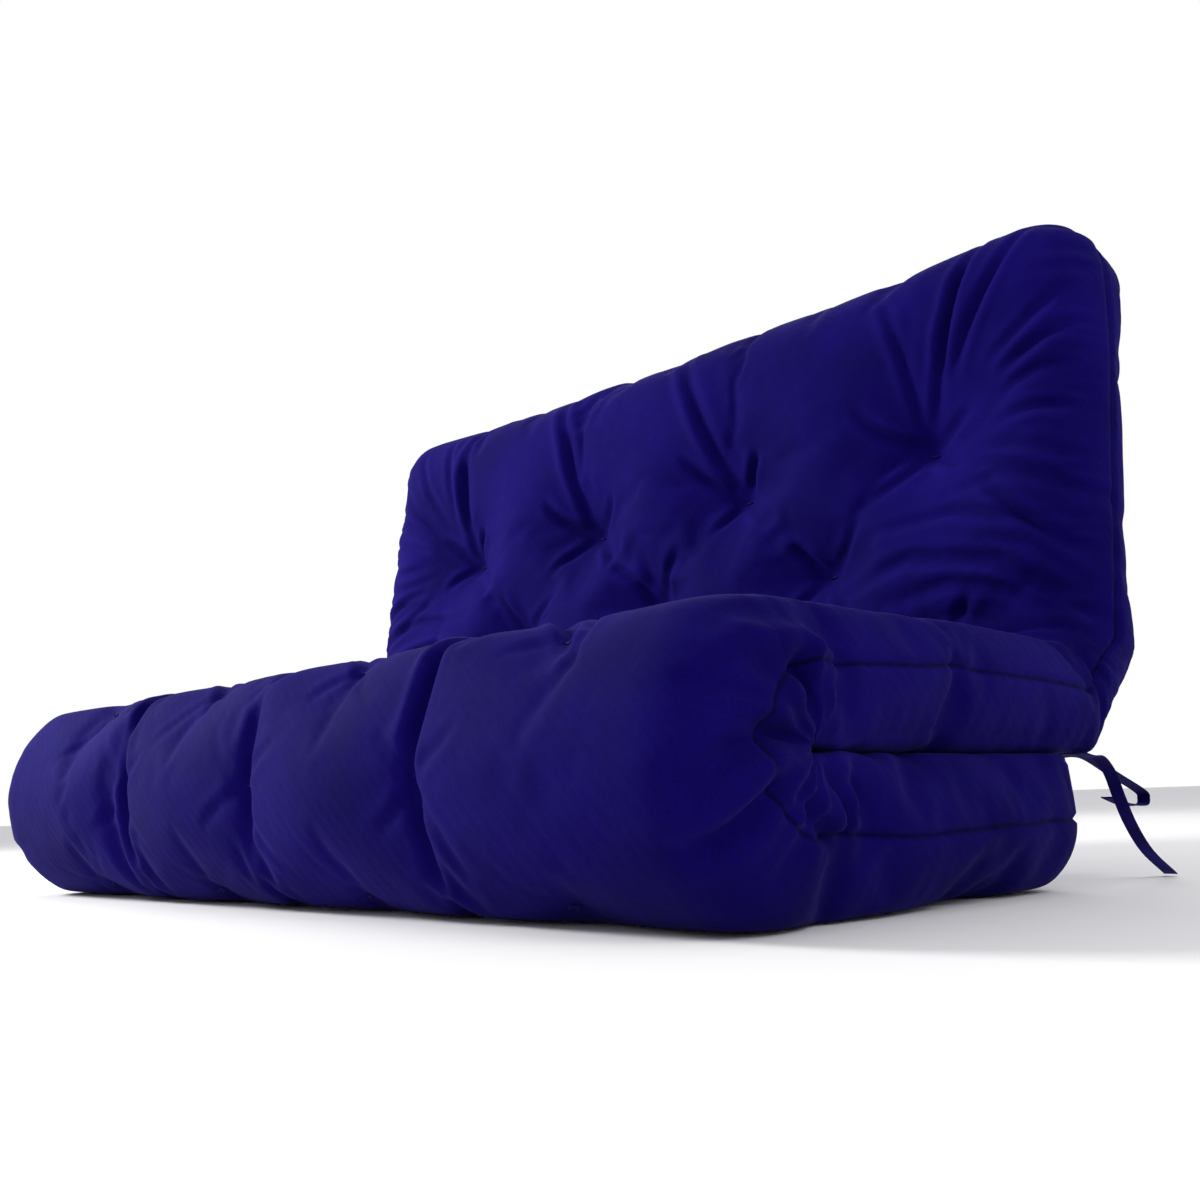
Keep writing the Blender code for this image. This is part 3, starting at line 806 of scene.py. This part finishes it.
def cottonTwill(name):
    material, shader, place = newMaterial(
        name, twill["tones"][1], twill["roughness"], twill["sheen"], twill["sheenTint"])
    tree = shader.id_data
    shaded = shadeCloth(place, twill["tones"], 7.0, 420.0)
    # Wear: folds and seams rub paler
    wear = node(tree, "Attribute", attribute_name="wear")
    patches = noise(place, 55.0, detail=5.0, roughness=0.65)
    worn = node(tree, "Math", operation="MULTIPLY")
    join(wear, "Fac", worn, 0)
    join(patches, "Fac", worn, 1)
    paler = overlay(worn, 0, shaded, "Vector", twill["worn"])
    # Specks of lint caught in the cotton
    specks = texture(place, "TexVoronoi", {"Scale": 46.0})
    few = rangeOf(specks, "Distance", {"From Max": 0.035, "To Min": 0.3, "To Max": 0.0})
    linty = overlay(few, "Result", paler, "Result", twill["lint"])
    # The seams lie in shade
    seamMark = node(tree, "Attribute", attribute_name="seam")
    sharper = rangeOf(seamMark, "Fac", {"From Min": 0.45, "From Max": 0.95, "To Max": 0.75})
    shaded = overlay(sharper, "Result", linty, "Result", twill["seamShade"])
    join(shaded, "Result", shader, "Base Color")
    # Wales run diagonally on every side: one plane wave along the diagonal of the sofa
    turn = {"Rotation": (0, -0.6155, 0.7854)}
    diagonal = texture(place, "Mapping", turn, vector_type="TEXTURE")
    wales = node(tree, "TexWave", {"Scale": twill["wales"], "Distortion": 0.6, "Detail": 1.0})
    join(diagonal, "Vector", wales, "Vector")
    yarns = noise(place, 700.0, detail=2.0)
    crumples = noise(place, twill["crumple"], detail=4.0, roughness=0.6)
    softest, hardest = twill["roughness"] - 0.07, twill["roughness"] + 0.08
    rough = rangeOf(patches, "Fac", {"To Min": softest, "To Max": hardest})
    join(rough, "Result", shader, "Roughness")
    addBumps(shader, [(crumples, 0.3, 0.004), (wales, 0.22, 0.0006), (yarns, 0.2, 0.0004)])
    return material


def tapeCloth():
    tones = (0.004, 0.0015, 0.06), (0.006, 0.003, 0.085), (0.01, 0.006, 0.115)
    material, shader, place = newMaterial("tieTape", tones[1], 0.75, 0.08, (0.4, 0.3, 1, 1))
    join(shadeCloth(place, tones, 40.0, 900.0), "Vector", shader, "Base Color")
    ribs = texture(place, "TexWave", {"Scale": 110.0, "Distortion": 0.3}, bands_direction="X")
    addBumps(shader, [(ribs, 0.5, 0.0004), (noise(place, 900.0), 0.3, 0.0003)])
    return material


def tuftThread():
    tones = (0.005, 0.003, 0.06), (0.01, 0.006, 0.09), (0.018, 0.012, 0.13)
    material, shader, place = newMaterial("waxedThread", (0.01, 0.007, 0.1), 0.5)
    join(shadeCloth(place, tones, 120.0, 2000.0), "Vector", shader, "Base Color")
    strands = {"Scale": 260.0, "Distortion": 0.2}
    twist = texture(place, "TexWave", strands, bands_direction="DIAGONAL")
    addBumps(shader, [(twist, 0.6, 0.0004)])
    return material


def fibreFill(name, tones, lumps, depth):
    material, shader, place = newMaterial(name, tones[1], 0.95)
    join(shadeCloth(place, tones, 18.0, 380.0), "Vector", shader, "Base Color")
    addBumps(shader, [(noise(place, lumps, detail=8.0, roughness=0.7), 0.8, depth)])
    return material


finishes = dict(
    cover=cottonTwill("cottonTwill"),
    tape=tapeCloth(),
    thread=tuftThread(),
    wadding=fibreFill(
        "cottonWadding", ((0.66, 0.64, 0.58), (0.78, 0.76, 0.7), (0.86, 0.85, 0.81)), 60.0, 0.006),
    felt=fibreFill(
        "feltedCore", ((0.5, 0.46, 0.39), (0.62, 0.58, 0.5), (0.72, 0.68, 0.6)), 240.0, 0.002),
)


def meshPiece(name, points, faces, material):
    obj = plainMesh(name, points, faces)
    obj.data.materials.append(material)
    return obj


# Bakes the piece's placement into its points; nothing bends it
def bendPiece(obj):
    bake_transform(obj)


# Where cloth is rubbed: on the lips of the folds
wear = np.clip(shift / 0.004, 0, 1) * 0.6
def cutCover(name, label, rear, nodes):
    chosen = faceCorners[(faceCloth == label) & (faceRear == rear)]
    used = np.unique(chosen)
    renumber = np.zeros(len(points), np.int64)
    renumber[used] = np.arange(len(used))
    obj = meshPiece(name, points[used], renumber[chosen], finishes["cover"])
    writeAttribute(obj.data, "wear", wear[used])
    writeAttribute(obj.data, "seam", upperSeam[used])
    obj.data.normals_split_custom_set_from_vertices([tuple(n) for n in normals[used]])
    if rear:
        bendPiece(obj)
    else:
        bendPiece(obj)
    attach(obj, "seat")
    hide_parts(*nodes)


longPieces = [
    ("outerPanel", outerCloth, "outer_panel"), ("innerPanel", innerCloth, "inner_panel"),
    ("gussetRight", gussetRight, "gusset_right"), ("gussetLeft", gussetLeft, "gusset_left"),
]
for word, label, kind in longPieces:
    cutCover(word + "Rear", label, 1, [f"{part}_{kind}" for part in ("back", "back_fold")])
    cutCover(word + "Front", label, 0, [f"{part}_{kind}" for part in ("seat", "front_fold", "base")])
cutCover("headGussetRear", headGusset, 1, ["head_end_gusset"])
cutCover("footGussetFront", footGusset, 0, ["foot_end_gusset"])
print("cover pieces cut")

# Fillings under the cover: two waddings round a felt core, squeezed where a tuft draws them in
layers = dict(
    creaseInset=2, sideInset=7, endInset=11, everyLine=2,    # in lines of the cover grid
    shorten=0.5, foldShorten=0.02,    # share of the last cell cut off
    skin=0.017, creaseSkin=0.045,    # distance to the cloth, and the most share of the thickness
    skinShare=0.32, creaseShare=0.43,
    gap=0.0006, fill=0.7,
    loft=(("lower_wadding", 0.0, 0.4), ("felt_core", 0.4, 0.66), ("upper_wadding", 0.66, 1.0)),
)
sections = [
    ("back", backStretch, "back"), ("back_fold", backFold, None), ("seat", seatStretch, "seat"),
    ("front_fold", frontFold, None), ("base", baseStretch, "base"),
]


def everyOther(first, last):
    return sorted(set(range(first, last, layers["everyLine"])) | {last})


# Faces of a closed slab: an upper grid, a lower one and the walls round them
def slabFaces(rows, lines):
    count = rows * lines
    top = np.arange(count).reshape(rows, lines)
    a, b, c, d = top[:-1, :-1], top[:-1, 1:], top[1:, 1:], top[1:, :-1]
    upper = np.stack((a, b, c, d), -1).reshape(-1, 4)
    lower = np.stack((a, d, c, b), -1).reshape(-1, 4) + count
    rim = np.concatenate([top[0, :], top[1:, -1], top[-1, -2::-1], top[-2:0:-1, 0]])
    after = np.roll(rim, -1)
    return np.concatenate([upper, lower, np.stack([rim, rim + count, after + count, after], -1)])


def fillSection(section, stretch, body):
    rowsOf = [index for index, row in enumerate(cover.rows) if row[0] == stretch]
    first, last = rowsOf[0], min(rowsOf[-1] + 1, len(cover.rows) - 1)
    if body:
        first += layers["sideInset" if stretch == backStretch else "creaseInset"]
        last -= layers["sideInset" if stretch == baseStretch else "creaseInset"]
    rowList = everyOther(first, last)
    edge = layers["endInset" if stretch == frontFold else "sideInset"]
    lineList = everyOther(edge, cover.top.shape[1] - 1 - edge)
    high = settled[cover.top[np.ix_(rowList, lineList)]].copy()
    low = settled[cover.bottom[np.ix_(rowList, lineList)]].copy()
    shorten = layers["shorten" if body else "foldShorten"]
    for pair in (high, low):
        pair[0] += (pair[1] - pair[0]) * shorten
        pair[-1] += (pair[-2] - pair[-1]) * shorten
    thick = np.linalg.norm(high - low, axis=2)[..., None]
    inCrease = stretch == backFold
    skin = layers["creaseSkin" if inCrease else "skin"] / thick
    skin = np.minimum(skin, layers["creaseShare" if inCrease else "skinShare"])
    gap = layers["gap"] / thick
    faces = slabFaces(len(rowList), len(lineList))
    for word, start, end in layers["loft"]:
        floorSide = low + (high - low) * (skin + (1 - 2 * skin) * start + gap)
        topSide = low + (high - low) * (skin + (1 - 2 * skin) * end - gap)
        shape = np.concatenate([topSide.reshape(-1, 3), floorSide.reshape(-1, 3)])
        finish, slot = ("felt", "felt_core") if word == "felt_core" else ("wadding", "soft_wadding")
        piece = meshPiece(section + "_" + word + "_fill", shape, faces, finishes[finish])
        if body is None:
            bendPiece(piece)
        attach(piece, body or "seat")
        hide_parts(section + "_" + word)


for section in sections:
    fillSection(*section)
print("fillings laid")


# Tufting threads: a stitch on each side, and a run under the core that joins a row
def wayAlong(path):
    way = np.gradient(np.array(path), axis=0)
    return way / np.linalg.norm(way, axis=1)[:, None]


def ringFaces(rings, sides):
    faces = []
    for ring in range(0, (rings - 1) * sides, sides):
        for index in range(sides):
            after = (index + 1) % sides
            faces.append([ring + index, ring + after, ring + sides + after, ring + sides + index])
    return faces


def threadTube(centre, radius, sides=6):
    way = wayAlong(centre)
    across = np.cross(way, [0.31, 0.52, 0.79])
    across /= np.linalg.norm(across, axis=1)[:, None]
    points = []
    for spot, first, second in zip(centre, across, np.cross(way, across)):
        for index in range(sides):
            angle = 2 * pi * index / sides
            points.append(spot + radius * (cos(angle) * first + sin(angle) * second))
    faces = ringFaces(len(centre), sides)
    start, last = len(points), len(points) - sides
    points += [centre[0], centre[-1]]
    for index in range(sides):
        after = (index + 1) % sides
        faces.append([start, after, index])
        faces.append([start + 1, last + index, last + after])
    return points, faces


def smoothPath(knots, steps):
    knots = [np.array(knot, float) for knot in knots]
    padded = [2 * knots[0] - knots[1]] + knots + [2 * knots[-1] - knots[-2]]
    path = []
    for a, b, c, d in zip(padded, padded[1:], padded[2:], padded[3:]):
        for step in range(steps):
            t = step / steps
            bend, twist = 2 * a - 5 * b + 4 * c - d, 3 * b - a - 3 * c + d
            path.append(0.5 * (2 * b + (c - a) * t + bend * t * t + twist * t ** 3))
    path.append(knots[-1])
    return path


def tubeMesh(name, parts, material):
    mesh = bmesh.new()
    for points, faces in parts:
        verts = [mesh.verts.new(point) for point in points]
        for face in faces:
            mesh.faces.new([verts[index] for index in face]).smooth = True
    data = bpy.data.meshes.new(name)
    bmesh.ops.recalc_face_normals(mesh, faces=mesh.faces)
    mesh.to_mesh(data)
    mesh.free()
    data.materials.append(material)
    return newObject(name, data)


# The point of one cloth that was nearest to a spot before its creases
def clothPoint(label, spot):
    here = np.flatnonzero(touches[:, label])
    return points[here[np.argmin(np.linalg.norm(rest[here] - spot, axis=1))]]


sideways = np.array([1.0, 0, 0])
half, radius = tufts["stitch"] / 2, tufts["threadRadius"]
wordOf = {backStretch: "back", seatStretch: "seat", baseStretch: "base", frontFold: "front_fold"}
for row, along, stretch, place, across in tuftRows():
    parts, ends = [], []
    for top, bottom, way in zip(*tuftEnds(stretch, place, across)):
        start = clothPoint(outerCloth, top) - way * 0.0006
        if stretch == frontFold:
            finish = frontAxis + (top - frontAxis) * np.array([0, 1, 1]) * tufts["foldStop"]
            finish[0] = top[0]
        else:
            finish = clothPoint(innerCloth, bottom) + way * 0.0004
        knots = [finish - sideways * half, start - sideways * half + way * 0.004]
        knots += [start - sideways * half * 0.6 - way * 0.0008, start - way * 0.0014]
        knots += [start + sideways * half * 0.6 - way * 0.0008]
        knots += [start + sideways * half + way * 0.004, finish + sideways * half]
        parts.append(threadTube(smoothPath(knots, 4), radius))
        ends.append(start + (finish - start) * tufts["runDepth"])
    run = [ends[0] - sideways * 0.004]
    for a, b in zip(ends, ends[1:]):
        run += [a, (a * 2 + b) / 3, (a + b * 2) / 3]
    run += [ends[-1], ends[-1] + sideways * 0.004]
    parts.append(threadTube(smoothPath(run, 3), radius))
    word = f"{wordOf[stretch]}_tuft_row_{row + 1:02d}"
    obj = tubeMesh(word + "_thread", parts, finishes["thread"])
    if stretch == frontFold:
        bendPiece(obj)
        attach(obj, "seat")
    else:
        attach(obj, wordOf[stretch])
    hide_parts(word)
print("tufts threaded")

# Ties at the rear ends of the slit: a loose tail to the floor and a folded loop.
# Knots: metres behind the base, share of a layer's height
ties = dict(
    width=0.015, thick=0.0016, startBehind=0.01, fromEdge=0.0095, loopInward=0.017,
    tail=[(-0.024, 1.0), (0.0, 0.975), (0.026, 0.965), (0.05, 0.85), (0.068, 0.66), (0.092, 0.44),
          (0.13, 0.22), (0.19, 0.02)],
    loop=[(-0.022, 1.0), (0.004, 0.985), (0.04, 0.965), (0.1, 0.84), (0.168, 0.7), (0.177, 0.64),
          (0.168, 0.585), (0.12, 0.6), (0.078, 0.66)],
)


def lengthOf(path):
    return float(np.linalg.norm(np.diff(np.array(path), axis=0), axis=1).sum())


# A woven tape, thicker at its two selvedges
def tapeAlong(name, path, width, thick):
    points = []
    profile = [(-0.5, 0.0), (-0.47, 0.55), (-0.4, 0.36), (0, 0.34), (0.4, 0.36), (0.47, 0.55), (0.5, 0.0)]
    profile += [(0.47, -0.55), (0.4, -0.36), (0, -0.34), (-0.4, -0.36), (-0.47, -0.55)]
    count = len(profile)
    for spot, along in zip(path, wayAlong(path)):
        up = np.cross(along, sideways)
        up /= np.linalg.norm(up)
        points += [spot + sideways * width * u + up * thick * v for u, v in profile]
    faces = ringFaces(len(path), count)
    faces.append(list(range(count))[::-1])
    faces.append([len(points) - count + index for index in range(count)])
    return tubeMesh(name, [(points, faces)], finishes["tape"])


for word, side in (("right", 1), ("left", -1)):
    for name in ("tail", "loop"):
        x = side * (halfWidth - ties["fromEdge"] - (ties["loopInward"] if name == "loop" else 0))
        behind = frontAxis[1] + baseLength + ties["startBehind"]
        knots = [(x, behind + y, layer * share) for y, share in ties[name]]
        path = smoothPath(knots, 5)
        tape = tapeAlong(f"tie_{word}_{name}_tape", path, ties["width"], ties["thick"])
        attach(tape, "seat")
        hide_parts(f"tie_{word}_{name}")
        print(tape.name, "length", round(lengthOf(path), 3))

# Floor, lights and surroundings
studio = dict(
    floorTones=((0.88, 0.87, 0.85), (0.9, 0.89, 0.87), (0.92, 0.91, 0.89)), floorSize=60,
    worldColour=(0.93, 0.94, 1.0), worldStrength=0.72, backdrop=1.0,
    lights=[
        ("key", (-2.7, -1.9, 1.9), (0, 0, 0.35), 0.9, 150),
        ("side", (2.9, -0.4, 2.2), (0.3, 0, 0.4), 1.4, 25),
        ("rear", (-1.5, 2.6, 2.4), (0, 0.2, 0.4), 2.0, 30),
    ],
)


def layFloor():
    size = studio["floorSize"]
    floor = plainMesh("floor", [(-size, -size, 0), (size, -size, 0), (size, size, 0), (-size, size, 0)],
                      [[0, 1, 2, 3]])
    material, shader, place = newMaterial("paleFloor", studio["floorTones"][1], 0.7)
    join(shadeClouds(place, studio["floorTones"], 1.2), "Color", shader, "Base Color")
    floor.data.materials.append(material)


def addLight(name, place, target, size, power):
    data = bpy.data.lights.new(name, "AREA")
    data.energy, data.size = power, size
    light = newObject(name, data)
    light.location = place
    light.rotation_euler = (Vector(place) - Vector(target)).to_track_quat("Z", "Y").to_euler()


def lightWorld():
    world = bpy.data.worlds.new("world")
    scene.world = world
    world.use_nodes = True
    tree = world.node_tree
    sky = tree.nodes["Background"]
    sky.inputs["Color"].default_value = (*studio["worldColour"], 1)
    sky.inputs["Strength"].default_value = studio["worldStrength"]
    backdrop = node(tree, "Background", {"Color": (1, 1, 1, 1), "Strength": studio["backdrop"]})
    choose = node(tree, "MixShader")
    join(node(tree, "LightPath"), "Is Camera Ray", choose, 0)
    join(sky, 0, choose, 1)
    join(backdrop, 0, choose, 2)
    join(choose, 0, tree.nodes["World Output"], 0)


scene.view_settings.view_transform = "Standard"    # keeps the navy as mixed
layFloor()
for item in studio["lights"]:
    addLight(*item)
lightWorld()
bpy.data.meshes.remove(fine)
